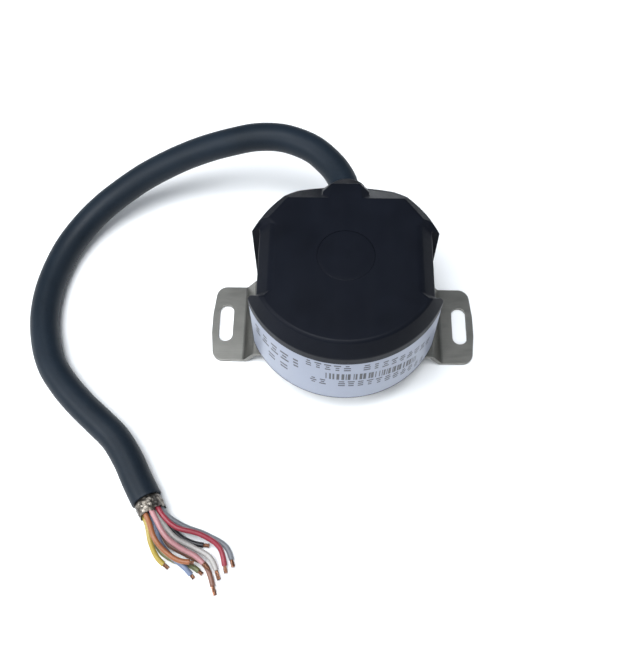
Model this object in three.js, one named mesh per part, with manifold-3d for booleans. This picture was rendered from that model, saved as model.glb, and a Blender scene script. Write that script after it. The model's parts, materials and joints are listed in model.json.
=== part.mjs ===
// A 44 mm hollow taper-shaft rotary encoder: a cover with a flat on each side, an aluminium base
// that carries two ball bearings, a code disc on a hollow shaft, a leaf-spring bracket with one
// slotted ear on each side, and a free cable with stripped conductors.
// Millimetres. +Z is the shaft's axis. The origin is on that axis, at the underside of the ears.
import * as THREE from "three";
import { ConvexGeometry } from "three/addons/geometries/ConvexGeometry.js";
import { mergeVertices } from "three/addons/utils/BufferGeometryUtils.js";
import Module from "manifold-3d";

const wasm = await Module();
wasm.setup();

// Driving dimensions.
const BODY_R = 22; // the housing's radius
const FLAT_X = 18.5; // the side flats' distance from the axis
const FLAT_Y = 8.2; // half the flats' length
const TOP_R = 20.1; // the top face's radius, inside the front chamfer
const COVER_Z = 7.8; // the cover's lower edge
const BAND_Z = 28; // where the front chamfer starts
const TOP_Z = 32.2; // the top face
const WALL = 1.6; // the cover's wall
const ROOF = 1.8; // the cover's top
const BEVEL_SLOPE = 0.84; // the rear bevels' fall per millimetre outwards
const REAR_BEVEL_Y = 14.45; // the rear bevel's upper edge
const DIAGONAL_R = 18.7; // the diagonal bevels' upper edges, from the axis
const DIAGONAL_TURN = (53.7 * Math.PI) / 180; // the diagonal bevels' directions, from +Y
const FLARE_Z = 29.3; // where the side flats start to lean inwards
const LABEL_R = 21.8;
const LABEL_Z = [8.05, 25.65];
const LABEL_TURN = (22.5 * Math.PI) / 180; // the label's ends, from the X axis
const PLATE = 0.8; // the bracket's sheet
const PLATE_Z = 3.4; // the bracket's middle, under the base
const EAR_X = 31.3; // the ears' outer edges
const EAR_Y = 9.9; // half the ears' width
const EAR_CORNER = 2.8;
const SLOT_X = 28; // the slots' centres
const SLOT_W = 3.4;
const SLOT_L = 9.7;
const BASE_Z = 4.5; // the base's underside
const FLANGE_Z = 6.6; // the base's flange, under the gasket
const FLOOR_Z = 7.6; // the base's floor, inside the cover
const SPIGOT_Z = 9.6;
const TOWER_R = 13;
const TOWER_Z = 17.7;
const BEARING_R = [6, 10.5]; // a thin-section bearing, 12 x 21 x 5
const BEARING_H = 5;
const BEARING_Z = [6.1, 12.5]; // the lower faces of the two bearings
const RACE_R = [7.3, 9.2];
const BALL_R = 1;
const BALLS = 9;
const SHAFT_R = 5.95;
const COLLAR_R = 7;
const SHAFT_Z = [0.7, 21.6];
const TAPER_R = 4.63; // the taper's mouth, which narrows 1 in 10 on diameter
const TAPER_Z = 15;
const BOLT_R = 2.75;
const HUB_R = 9;
const DISC_R = 13.4;
const DISC_Z = [21.5, 22.3];
const BOARD_Z = [26.4, 28];
const BOARD_R = 18.6;
const PLUG_R = 6.1;
const TRACK_R = 12.3; // the code track, over the light source
const JACKET_R = 3.4;
const JACKET_STEPS = 40;
const CABLE_X = 0.5;
const CABLE_Z = 22.3; // the cable's height where it leaves the housing
const FOIL_R = [3, 3.2];
const FOIL_L = 3.6;
const WIRE_R = 0.6;
const AIR = 0.05; // between faces that rest on each other
const GAP = 0.3; // between pieces that fit in each other
const ROUND = 32; // sides of a large round
const SMALL = 16; // sides of a small round
const FINE = 64; // sides of the housing's round, so that its label's ends are corners of it

const COVER_SCREWS = [[9.5, 15], [-9.5, 15], [6.5, -16.5], [-6.5, -16.5]];
const BOARD_SCREWS = [[13.5, 8.6], [-13.5, 8.6], [12.8, -11], [-12.8, -11]];
const BRACKET_SCREWS = [[13.5, 7], [-13.5, 7], [13.5, -7], [-13.5, -7]];

// The cable's middle line, from inside the housing to the cut end of its jacket.
const ROUTE = [
  [0.5, 14.9, 22.3], [0.5, 19.5, 22.3], [0.2, 23, 22.3], [-0.5, 26.1, 22.3], [-2.2, 29.6, 22.3],
  [-4.4, 32.5, 22.3], [-7.2, 35.3, 22.3], [-11, 37.7, 22.1], [-15.5, 39.4, 21.8],
  [-21.5, 40.2, 20.9], [-27.3, 40, 19.4], [-33.3, 39.5, 17.5], [-39, 38.8, 15.2],
  [-44.7, 37.5, 12.8], [-50.3, 35.7, 10.3], [-55.3, 33.1, 8.2], [-60.2, 29.6, 6.4],
  [-64.6, 25.1, 4.8], [-68.3, 18.9, 3.8], [-70.4, 12.4, 3.4], [-71.3, 6.3, 3.4],
  [-71.2, -0.3, 3.4], [-69.9, -6.7, 3.4], [-67.5, -12.8, 3.4], [-63.8, -17.9, 3.4],
  [-59.4, -22.5, 3.4], [-54.9, -26.5, 3.4], [-50.4, -30.6, 3.4], [-46.9, -35.5, 3.4],
  [-44.2, -40.4, 3.4], [-41.8, -44.4, 3.4],
];

// Each conductor: its name, its colour, its place in the cut end, across and up from the
// cable's middle, and the points that it passes through beyond the foil.
const WIRES = [
  ["wire_grey", 0x8d9097, 2.15, 0,
    [[-33.6, -49.6, 2.6], [-28.6, -51.2, 1.6], [-24.3, -53.6, 0.8], [-22.6, -57.6, 0.7]]],
  ["wire_red", 0xc3202b, 1.5, 1.5,
    [[-35, -50.3, 4.6], [-29.6, -51.6, 3.6], [-25.6, -54, 2.4], [-24, -59, 1.2]]],
  ["wire_black", 0x1c1b1f, 1.5, -1.5,
    [[-34.2, -51.6, 1.1], [-31, -52.9, 0.7], [-28, -53.3, 0.7]]],
  ["wire_white", 0xe4e0e2, 0.7, 0,
    [[-35.2, -52.1, 3.1], [-31.2, -54, 2.2], [-27.4, -56.1, 1.8], [-25.4, -60.3, 0.8]]],
  ["wire_pink", 0xd9a0a8, 0, 2.15,
    [[-36.8, -52.3, 4.9], [-33.8, -54.4, 3.8], [-30.4, -56, 2.9], [-27.6, -58.4, 2.3]]],
  ["wire_brown", 0xa8705c, 0, -2.15,
    [[-36.8, -53, 1.2], [-32.8, -55.2, 0.8], [-28.6, -57.3, 0.8], [-26, -63.4, 0.7]]],
  ["wire_orange", 0xd8602c, -1.5, 1.5,
    [[-38.9, -53, 4.9], [-36.6, -55.4, 4.1], [-33.8, -57, 3.6], [-30.6, -57.4, 3.3]]],
  ["wire_green", 0x8f9440, -1.5, -1.5,
    [[-38.4, -54.4, 1.2], [-35, -56.6, 0.8], [-31.4, -57.6, 0.7], [-29, -59.2, 0.7]]],
  ["wire_yellow", 0xdcc13c, -2.15, 0,
    [[-40.2, -53.2, 2.8], [-38.6, -56.2, 1.6], [-36.2, -58.2, 0.8]]],
  ["wire_blue", 0xa9b6d4, -0.7, 0,
    [[-38, -53.4, 2.9], [-35.6, -56, 2.4], [-32.6, -58.2, 2], [-30.6, -60.2, 1.2]]],
];

const model = new THREE.Group();

// A closed geometry as a solid, with its faces turned outwards.
function solid(geometry) {
  const g = geometry.clone();
  g.deleteAttribute("normal");
  g.deleteAttribute("uv");
  const merged = mergeVertices(g, 1e-4);
  const corners = [];
  for (let i = 0; i < merged.index.count; i += 3) {
    const [a, b, c] = [0, 1, 2].map((k) => merged.index.getX(i + k));
    if (a !== b && b !== c && c !== a) corners.push([a, b, c]);
  }
  const made = (turn) =>
    new wasm.Manifold(
      new wasm.Mesh({
        numProp: 3,
        vertProperties: new Float32Array(merged.attributes.position.array),
        triVerts: new Uint32Array(corners.flatMap(([a, b, c]) => (turn ? [a, c, b] : [a, b, c]))),
      }),
    );
  const first = made(false);
  return first.volume() < 0 ? made(true) : first;
}

// A solid as a named mesh of the model.
function piece(name, body, colour, roughness, metalness = 0) {
  const mesh = body.getMesh();
  const geometry = new THREE.BufferGeometry();
  geometry.setAttribute("position", new THREE.BufferAttribute(mesh.vertProperties, 3));
  geometry.setIndex(new THREE.BufferAttribute(mesh.triVerts, 1));
  const flat = geometry.toNonIndexed();
  flat.computeVertexNormals();
  const material = new THREE.MeshStandardMaterial({ color: colour, roughness, metalness });
  const made = new THREE.Mesh(flat, material);
  made.name = name;
  model.add(made);
}

// A round body about the Z axis from a profile of radius and height.
function lathe(profile, sides = ROUND) {
  const points = profile.map(([r, z]) => new THREE.Vector2(r, z));
  if (profile[0][0] > 0) points.push(points[0].clone());
  return solid(new THREE.LatheGeometry(points, sides).rotateX(Math.PI / 2));
}

const disc = (r, z0, z1, sides = ROUND) => lathe([[0, z0], [r, z0], [r, z1], [0, z1]], sides);
const ring = (r0, r1, z0, z1, sides = ROUND) =>
  lathe([[r0, z0], [r1, z0], [r1, z1], [r0, z1]], sides);
const rod = ([x, y], r, z0, z1, sides = SMALL) => disc(r, z0, z1, sides).translate([x, y, 0]);

function box(x, y, z) {
  const geometry = new THREE.BoxGeometry(x[1] - x[0], y[1] - y[0], z[1] - z[0]);
  return solid(geometry.translate((x[0] + x[1]) / 2, (y[0] + y[1]) / 2, (z[0] + z[1]) / 2));
}

function extrude(shape, z0, z1, curveSegments = 24) {
  const options = { depth: z1 - z0, bevelEnabled: false, curveSegments };
  return solid(new THREE.ExtrudeGeometry(shape, options).translate(0, 0, z0));
}

// A round bar along the Y axis, for what runs out through the rear wall.
function rearBar(profile, x, sides = ROUND) {
  return lathe(profile, sides).rotate([-90, 0, 0]).translate([x, 0, CABLE_Z]);
}

const vectors = (points) => points.map((p) => new THREE.Vector3(...p));
const curve = (points) => new THREE.CatmullRomCurve3(vectors(points), false, "centripetal");

// A round tube of a few sides along a curve.
function tube(path, r, sides, steps) {
  const section = new THREE.Shape();
  for (let k = 0; k < sides; k += 1) {
    const turn = (2 * Math.PI * k) / sides;
    const at = [r * Math.cos(turn), r * Math.sin(turn)];
    if (k === 0) section.moveTo(...at);
    else section.lineTo(...at);
  }
  section.closePath();
  return solid(new THREE.ExtrudeGeometry(section, { extrudePath: path, steps }));
}

// The housing's two side flats, as the blocks that they cut off, moved inwards by inset.
function sideCuts(inset) {
  const y = FLAT_Y + inset;
  const cut = (x0, x1) => box([x0, x1], [-y, y], [-1, TOP_Z + 1]);
  return cut(FLAT_X - inset, BODY_R + 2).add(cut(-BODY_R - 2, inset - FLAT_X));
}

// A plate of the housing's outline, a circle with a flat cut into each side.
const plate = (inset, z0, z1) =>
  disc(BODY_R - inset, z0, z1, FINE).subtract(sideCuts(inset));

// What a sloping plane cuts off: turn is its direction from +Y, and reach and z are a point on it.
function above(turn, reach, z, slope) {
  const size = 60;
  const block = new THREE.BoxGeometry(size, size, size).translate(0, 0, size / 2);
  block.rotateX(-Math.atan(slope));
  block.translate(0, reach, z);
  block.rotateZ(-turn);
  return solid(block);
}

// What makes room over one side flat, where it leans inwards to the top face.
function flare(side, inset) {
  const x = FLAT_X - inset;
  const y = FLAT_Y + inset;
  const z0 = FLARE_Z - 0.4 * inset;
  const rise = TOP_Z + 1 - z0;
  const lean = [1, 0.59];
  const outer = x + 8;
  const corner = 1.5;
  const points = [];
  for (const end of [-1, 1]) {
    points.push([x, end * y, z0], [outer, end * y, z0]);
    points.push([x - lean[0] * rise, end * (y + lean[1] * rise - corner), TOP_Z + 1]);
    points.push([x - lean[0] * rise + corner, end * (y + lean[1] * rise), TOP_Z + 1]);
    points.push([outer, end * (y + lean[1] * rise), TOP_Z + 1]);
  }
  return solid(new ConvexGeometry(vectors(points.map(([a, b, c]) => [side * a, b, c]))));
}

// The cover's outer block, or with an inset the space inside it.
function coverBlock(inset, z0, z1) {
  const drop = inset * Math.hypot(1, BEVEL_SLOPE);
  const r = BODY_R - inset;
  const band = BAND_Z - 0.4 * inset;
  return lathe([[0, z0], [r, z0], [r, band], [TOP_R - inset, z1], [0, z1]], FINE)
    .subtract(sideCuts(inset))
    .subtract(above(0, REAR_BEVEL_Y, TOP_Z - drop, BEVEL_SLOPE))
    .subtract(above(DIAGONAL_TURN, DIAGONAL_R, TOP_Z - drop, BEVEL_SLOPE))
    .subtract(above(-DIAGONAL_TURN, DIAGONAL_R, TOP_Z - drop, BEVEL_SLOPE))
    .subtract(flare(1, inset))
    .subtract(flare(-1, inset));
}

// The hood over the cable's outlet, which runs out of the top face across the rear bevel.
function hood() {
  const [half, flatHalf, rearHalf] = [5.1, 3.7, 3.6];
  const [start, shoulder, low] = [12, 30.8, 17.5];
  const points = [];
  for (const side of [-1, 1]) {
    points.push([side * half, start, low], [side * half, start, shoulder]);
    points.push([side * flatHalf, start, TOP_Z], [side * 3, 18.4, TOP_Z]);
    points.push([side * half, 17.2, shoulder], [side * half, 20.2, 27.6]);
    points.push([side * half, 20.2, low], [side * rearHalf, 21.7, low]);
    points.push([side * rearHalf, 21.7, 27.4]);
  }
  return solid(new ConvexGeometry(vectors(points)));
}

// A strip of the housing's front, between two radii.
function frontStrip(r0, r1, z0, z1) {
  const shape = new THREE.Shape();
  shape.absarc(0, 0, r1, Math.PI + LABEL_TURN, 2 * Math.PI - LABEL_TURN, false);
  shape.absarc(0, 0, r0, 2 * Math.PI - LABEL_TURN, Math.PI + LABEL_TURN, true);
  shape.closePath();
  return extrude(shape, z0, z1);
}

function cover() {
  const bosses = COVER_SCREWS.map((at) =>
    rod(at, 2, FLOOR_Z + GAP, TOP_Z - 1, 12).subtract(rod(at, 1.15, FLOOR_Z, 13.5, 10)),
  );
  const inside = coverBlock(WALL, COVER_Z - 1, TOP_Z - ROOF);
  const block = coverBlock(0, COVER_Z, TOP_Z);
  const kept = hood().intersect(plate(0, TOWER_Z - 1, TOP_Z)).subtract(inside);
  const shell = block.subtract(inside).add(kept);
  const posts = bosses.map((boss) => boss.intersect(coverBlock(0.8, COVER_Z, TOP_Z - 0.6)));
  return posts
    .reduce((all, post) => all.add(post), shell)
    .subtract(frontStrip(LABEL_R - AIR, BODY_R + 1, LABEL_Z[0] - AIR, LABEL_Z[1] + AIR))
    .subtract(disc(PLUG_R + 0.2, TOP_Z - 5, TOP_Z + 1))
    .subtract(rearBar([[0, 15], [4.3, 15], [4.3, 24], [0, 24]], CABLE_X - 0.05));
}

// The plug in the top face, over the shaft's bolt.
function accessPlug() {
  const [skirt, snap] = [5.2, 6.55];
  return lathe([
    [0, 30.9], [skirt, 30.9], [skirt, 28.4], [skirt + 0.6, 28.4], [snap, 29.2], [snap, 29.9],
    [PLUG_R, 30.2], [PLUG_R, TOP_Z], [0, TOP_Z],
  ]);
}

const label = () => frontStrip(LABEL_R, BODY_R, ...LABEL_Z);

function gasket() {
  const [outer, inner] = [0.6, WALL + 0.05];
  const [z0, z1] = [FLANGE_Z + AIR, COVER_Z - AIR];
  return plate(outer, z0, z1).subtract(plate(inner, z0 - 1, z1 + 1));
}

// The base: a flange, a spigot inside the cover, the bearing tower and the board's posts.
function base() {
  const cone = lathe([[0, BASE_Z], [20.4, BASE_Z], [21.4, FLANGE_Z], [0, FLANGE_Z]], FINE);
  const rim = WALL + 0.35;
  const seat = BEARING_R[1] + AIR;
  const land = [BEARING_Z[0] + BEARING_H + 0.1, BEARING_Z[1] - 0.1];
  const bore = lathe([
    [0, BASE_Z - 1], [seat, BASE_Z - 1], [seat, land[0]], [9.6, land[0]], [9.6, land[1]],
    [seat, land[1]], [seat, TOWER_Z + 1], [0, TOWER_Z + 1],
  ]);
  let made = cone
    .subtract(sideCuts(0.6))
    .add(plate(rim, FLANGE_Z - 1, SPIGOT_Z))
    .subtract(plate(rim + 1.5, FLOOR_Z, SPIGOT_Z + 1))
    .add(disc(TOWER_R, FLOOR_Z - 1, TOWER_Z))
    .add(box([-3, 3], [-18.4, -14], [FLOOR_Z - 1, TOWER_Z]))
    .add(box([-2.2, 2.2], [-15, -11.6], [FLOOR_Z - 1, TOWER_Z]));
  for (const at of BOARD_SCREWS) made = made.add(rod(at, 1.9, FLOOR_Z - 1, BOARD_Z[0] - AIR, 12));
  made = made.subtract(bore);
  for (const at of BOARD_SCREWS) made = made.subtract(rod(at, 0.95, 20, BOARD_Z[0] + 1, 10));
  for (const at of BRACKET_SCREWS) made = made.subtract(rod(at, 1.3, BASE_Z - 1, FLOOR_Z - 0.4, 10));
  for (const at of COVER_SCREWS) {
    made = made.subtract(rod(at, 1.25, BASE_Z - 1, SPIGOT_Z + 1, 10));
    made = made.subtract(rod(at, 2.25, BASE_Z - 1, 5.9));
    made = made.subtract(rod(at, 2.3, FLOOR_Z, SPIGOT_Z + 1, 12));
  }
  return made;
}

// One ear seen from above, with its slot, from the bracket's middle to the outer edge.
function earPlan(side) {
  const shape = new THREE.Shape();
  const inner = EAR_X - EAR_CORNER - 0.8;
  shape.moveTo(0, -EAR_Y);
  shape.lineTo(inner, -EAR_Y);
  shape.quadraticCurveTo(EAR_X - 1, -EAR_Y, EAR_X - 0.6, -EAR_Y + EAR_CORNER + 0.6);
  shape.quadraticCurveTo(EAR_X + 0.6, 0, EAR_X - 0.6, EAR_Y - EAR_CORNER - 0.6);
  shape.quadraticCurveTo(EAR_X - 1, EAR_Y, inner, EAR_Y);
  shape.lineTo(0, EAR_Y);
  shape.closePath();
  const slot = new THREE.Path();
  const half = (SLOT_L - SLOT_W) / 2;
  slot.absarc(SLOT_X, half, SLOT_W / 2, 0, Math.PI, false);
  slot.absarc(SLOT_X, -half, SLOT_W / 2, Math.PI, 2 * Math.PI, false);
  slot.closePath();
  shape.holes.push(slot);
  const made = extrude(shape, -1, PLATE_Z + 2, 10);
  return side > 0 ? made : made.rotate([0, 0, 180]);
}

// The leaf spring: a flat middle, two walls bent down and two flat ears, cut from one strip.
function bracket() {
  const [bendHigh, bendLow] = [21, 23];
  const lean = 0.35;
  const profile = new THREE.Shape();
  const upper = [
    [bendHigh, PLATE_Z + PLATE], [bendLow + lean, PLATE], [EAR_X + 1, PLATE],
  ];
  const lower = [[EAR_X + 1, 0], [bendLow - lean, 0], [bendHigh - 2 * lean, PLATE_Z]];
  profile.moveTo(...upper[0]);
  for (const [x, z] of [...upper.slice(1), ...lower]) profile.lineTo(x, z);
  for (const [x, z] of [...lower].reverse()) profile.lineTo(-x, z);
  for (const [x, z] of [...upper].reverse()) profile.lineTo(-x, z);
  profile.closePath();
  const strip = solid(
    new THREE.ExtrudeGeometry(profile, { depth: 30, bevelEnabled: false })
      .translate(0, 0, -15)
      .rotateX(Math.PI / 2),
  );
  let made = strip.intersect(earPlan(1).add(earPlan(-1)));
  made = made.subtract(disc(8.3, 0, PLATE_Z + 2));
  for (const at of BRACKET_SCREWS) made = made.subtract(rod(at, 1.45, 0, PLATE_Z + 2, 12));
  return made;
}

// A screw that points up, with a hexagon socket in its head.
function screwUp(at, headR, headZ, shankR, shankZ) {
  const [low, high] = headZ;
  return rod(at, headR, low, high)
    .add(rod(at, shankR, high - 0.1, shankZ, 10))
    .subtract(rod(at, headR * 0.45, low - 1, low + 0.5 * (high - low), 6));
}

// The same screw pointing down.
function screwDown(at, headR, headZ, shankR, shankZ) {
  const flipped = screwUp([at[0], -at[1]], headR, [-headZ[1], -headZ[0]], shankR, -shankZ);
  return flipped.rotate([180, 0, 0]);
}

// One ring of a bearing, with a groove for the balls.
function race(inner, z) {
  const [bore, edge] = inner ? [BEARING_R[0], RACE_R[0]] : [BEARING_R[1], RACE_R[1]];
  const depth = inner ? -0.2 : 0.2;
  const middle = z + BEARING_H / 2;
  return lathe([
    [bore, z], [edge, z], [edge, middle - 0.7], [edge + depth, middle - 0.3],
    [edge + depth, middle + 0.3], [edge, middle + 0.7], [edge, z + BEARING_H],
    [bore, z + BEARING_H],
  ]);
}

function ballCage(z) {
  const pitch = (RACE_R[0] + RACE_R[1]) / 2;
  const middle = z + BEARING_H / 2;
  let made = ring(pitch - 0.35, pitch + 0.35, middle - 0.4, middle + 1.6, 24);
  for (let k = 0; k < BALLS; k += 1) {
    const turn = (2 * Math.PI * k) / BALLS;
    const ball = new THREE.SphereGeometry(BALL_R, 8, 6);
    ball.translate(pitch * Math.cos(turn), pitch * Math.sin(turn), middle);
    made = made.add(solid(ball));
  }
  return made;
}

function shaftSeal() {
  return lathe([
    [COLLAR_R + 0.15, BASE_Z + 0.2], [BEARING_R[1], BASE_Z + 0.2], [BEARING_R[1], 5.9],
    [9.4, 5.9], [9.4, 5.2], [COLLAR_R + 0.15, 4.9],
  ]);
}

function shaft() {
  const [low, high] = SHAFT_Z;
  const narrow = TAPER_R - (TAPER_Z - low) / 20;
  const groove = [17.9, 18.7];
  return lathe([
    [TAPER_R, low], [COLLAR_R - 0.5, low], [COLLAR_R, low + 0.5], [COLLAR_R, BEARING_Z[0] - AIR],
    [SHAFT_R, BEARING_Z[0] - AIR], [SHAFT_R, groove[0]], [SHAFT_R - 0.4, groove[0]],
    [SHAFT_R - 0.4, groove[1]], [SHAFT_R, groove[1]], [SHAFT_R, high], [4.7, high],
    [4.7, high - 2.7], [BOLT_R, high - 2.7], [BOLT_R, TAPER_Z], [narrow, TAPER_Z],
  ]);
}

function retainingRing() {
  const open = 0.35;
  const [inner, outer] = [SHAFT_R - 0.4 + AIR, 7.5];
  const shape = new THREE.Shape();
  shape.absarc(0, 0, outer, open, 2 * Math.PI - open, false);
  shape.absarc(0, 0, inner, 2 * Math.PI - open, open, true);
  shape.closePath();
  return extrude(shape, 17.95, 18.65);
}

const spacer = () =>
  ring(SHAFT_R + AIR, 7.2, BEARING_Z[0] + BEARING_H + AIR, BEARING_Z[1] - AIR);

function discHub() {
  const [z0, z1, z2] = [19, DISC_Z[0] - AIR, 23.3];
  return lathe([
    [SHAFT_R + AIR, z0], [HUB_R - 0.4, z0], [HUB_R, z0 + 0.4], [HUB_R, z1], [7, z1], [7, z2],
    [SHAFT_R + AIR, z2],
  ]);
}

const codeDisc = () => ring(7.1, DISC_R, ...DISC_Z, FINE);
const discClamp = () => ring(7.1, HUB_R - 0.2, DISC_Z[1] + AIR, DISC_Z[1] + 0.9);

// The light source stands on the tower's ledge, under the code track.
function ledCarrier() {
  return box([-4, 4], [-18.2, -10.4], [TOWER_Z + AIR, 20.2])
    .subtract(rod([0, -TRACK_R], 1.7, TOWER_Z - 1, 21))
    .subtract(box([-1, 1], [-20, -16.6], [TOWER_Z - 1, 21]));
}

function led() {
  const [low, rim, shoulder, top] = [18.1, 20.3, 20.9, 21.2];
  const profile = [[0, low], [1.5, low], [1.5, rim], [1.1, shoulder], [0.5, top - 0.05], [0, top]];
  return lathe(profile, 24).translate([0, -TRACK_R, 0]);
}

const reticle = () => box([-2.6, 2.6], [-14.4, -10.4], [22.7, 23.2]);

function photodetector() {
  return box([-3.2, 3.2], [-15.2, -9.8], [23.6, BOARD_Z[0] - AIR])
    .subtract(box([-2, 2], [-13.6, -11], [23, 24.2]));
}

function circuitBoard() {
  let made = plate(BODY_R - BOARD_R, ...BOARD_Z).subtract(
    box([-30, 30], [13.5, 30], [BOARD_Z[0] - 1, BOARD_Z[1] + 1]),
  );
  made = made.subtract(disc(PLUG_R + 0.5, BOARD_Z[0] - 1, BOARD_Z[1] + 1));
  for (const at of COVER_SCREWS) made = made.subtract(rod(at, 2.4, 20, 30, 12));
  for (const at of BOARD_SCREWS) made = made.subtract(rod(at, 1.1, 20, 30, 10));
  return made;
}

// A chip with a row of legs on each of its long sides.
function chip(x, y, wide, long, legs) {
  const z = BOARD_Z[1] + AIR;
  const half = wide / 2;
  const reach = half + 0.9;
  let made = box([x - half, x + half], [y - long / 2, y + long / 2], [z + 0.15, z + 1.4]);
  for (let k = 0; k < legs; k += 1) {
    const at = y - long / 2 + ((k + 0.5) * long) / legs;
    made = made.add(box([x - reach, x + reach], [at - 0.2, at + 0.2], [z, z + 0.5]));
  }
  return made;
}

const capacitor = () =>
  rod([10.4, 5.4], 1.7, BOARD_Z[1] + AIR, BOARD_Z[1] + 1.7, 24);

function leadHeader() {
  const z = BOARD_Z[0] - AIR;
  return box([-4.5, 5.5], [10.2, 13.4], [24, z])
    .subtract(box([-3.7, 4.7], [11.6, 14], [24.6, z - 0.5]));
}

// The conductors' short run from the cable's inner end into the header.
function leadRibbon() {
  const flat = box([-3.2, 4.2], [12, 14.2], [24.8, 25.6]);
  return flat.add(box([-1.6, 2.6], [13.9, 14.6], [21.4, 25.6]));
}

// The metal ring that holds the cable's end inside the housing.
function cableCrimp() {
  const [inner, outer] = [JACKET_R + 0.2, 4.5];
  return rearBar([[inner, 15.6], [outer, 15.6], [outer, 17.4], [inner, 17.4]], CABLE_X);
}

// The rubber boot: a flange inside the wall, a neck through it and a short lip outside.
function cableBoot(path) {
  const [flange, neck, lip] = [6, 4.1, 4.4];
  const profile = [
    [0, 18], [flange, 18], [flange, 19.2], [neck, 19.4], [neck, 22.3], [lip, 22.4], [lip, 23.6],
    [4, 24], [0, 24],
  ];
  const roof = box([-10, 10], [17, 20], [25, 30]);
  return rearBar(profile, CABLE_X - 0.05)
    .subtract(roof)
    .subtract(tube(path, JACKET_R + 0.25, 16, JACKET_STEPS));
}

// Where the jacket is cut, which way the cable points there and what lies to its side.
const end = new THREE.Vector3(...ROUTE.at(-1));
const heading = end.clone().sub(new THREE.Vector3(...ROUTE.at(-2))).normalize();
const across = new THREE.Vector3(-heading.y, heading.x, 0);
const beyond = (along, aside, up) =>
  end
    .clone()
    .addScaledVector(heading, along)
    .addScaledVector(across, aside)
    .add(new THREE.Vector3(0, 0, up));

function foil() {
  const path = new THREE.LineCurve3(beyond(GAP, 0, 0), beyond(GAP + FOIL_L, 0, 0));
  const inside = new THREE.LineCurve3(beyond(0, 0, 0), beyond(GAP + FOIL_L + 1, 0, 0));
  return tube(path, FOIL_R[1], 24, 1).subtract(tube(inside, FOIL_R[0], 24, 1));
}

function wire(aside, up, via) {
  const leading = [beyond(0.4, aside, up), beyond(4.6, aside, up)].map((p) => p.toArray());
  return tube(curve([...leading, ...via]), WIRE_R, 8, 10);
}

const PLASTIC = [0x16171c, 0.32];
const STEEL = [0x9a9d98, 0.35, 0.9];
const ALUMINIUM = [0xb8bbbe, 0.4, 0.9];
const BRIGHT = [0xc8cacc, 0.2, 0.95];
const RUBBER = [0x14151a, 0.7];

const route = curve(ROUTE);
piece("cover", cover(), ...PLASTIC);
piece("access_plug", accessPlug(), ...PLASTIC);
piece("label", label(), 0xc5ccdb, 0.35, 0.3);
piece("base_gasket", gasket(), ...RUBBER);
piece("base", base(), ...ALUMINIUM);
piece("leaf_spring_bracket", bracket(), ...STEEL);
BRACKET_SCREWS.forEach((at, k) =>
  piece(`bracket_screw_${k + 1}`, screwUp(at, 2.3, [1.7, PLATE_Z - AIR], 1.1, 6.9), ...BRIGHT));
COVER_SCREWS.forEach((at, k) =>
  piece(`cover_screw_${k + 1}`, screwUp(at, 2, [4.7, 5.85], 0.95, 12.6), ...BRIGHT));
["lower", "upper"].forEach((name, k) => {
  piece(`${name}_bearing_outer_ring`, race(false, BEARING_Z[k]), ...BRIGHT);
  piece(`${name}_bearing_inner_ring`, race(true, BEARING_Z[k]), ...BRIGHT);
  piece(`${name}_bearing_balls`, ballCage(BEARING_Z[k]), ...BRIGHT);
});
piece("shaft_seal", shaftSeal(), ...RUBBER);
piece("shaft", shaft(), ...BRIGHT);
piece("bearing_spacer", spacer(), ...STEEL);
piece("retaining_ring", retainingRing(), ...STEEL);
piece("disc_hub", discHub(), ...ALUMINIUM);
piece("code_disc", codeDisc(), 0x9fb4b8, 0.1, 0.1);
piece("disc_clamp", discClamp(), ...ALUMINIUM);
piece("led_carrier", ledCarrier(), 0x2a2c33, 0.5);
piece("led", led(), 0xd8e0ea, 0.1);
piece("reticle", reticle(), 0x9fb4b8, 0.1);
piece("photodetector", photodetector(), 0x1b1c20, 0.5);
piece("circuit_board", circuitBoard(), 0x1f5a38, 0.5);
piece("driver_chip", chip(-10.6, 1.2, 4, 9, 7), 0x1a1b1e, 0.5);
piece("interface_chip", chip(10.6, -2.4, 4, 5, 4), 0x1a1b1e, 0.5);
piece("capacitor", capacitor(), 0x3a3226, 0.4);
piece("lead_header", leadHeader(), 0xe6e0cf, 0.5);
piece("lead_ribbon", leadRibbon(), 0x8a8d90, 0.6);
BOARD_SCREWS.forEach((at, k) =>
  piece(`board_screw_${k + 1}`, screwDown(at, 1.8, [BOARD_Z[1] + AIR, 29.2], 0.8, 21), ...BRIGHT));
piece("cable_crimp", cableCrimp(), ...BRIGHT);
piece("cable_boot", cableBoot(route), ...RUBBER);
piece("cable_jacket", tube(route, JACKET_R, 10, JACKET_STEPS), 0x2a333b, 0.6);
piece("foil_shield", foil(), 0xc8ccd0, 0.25, 0.8);
for (const [name, colour, aside, up, via] of WIRES) piece(name, wire(aside, up, via), colour, 0.5);

export default model;
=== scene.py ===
"""A hollow taper-shaft rotary encoder with a leaf-spring bracket and a free signal cable.

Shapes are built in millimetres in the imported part's frame and scaled to metres as they become
pieces. +Z is the shaft's axis, and the origin is on that axis at the underside of the ears.
"""
import json
import math
import random

import bmesh
import bpy
from mathutils import Matrix, Vector, noise
from mathutils.bvhtree import BVHTree


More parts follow.
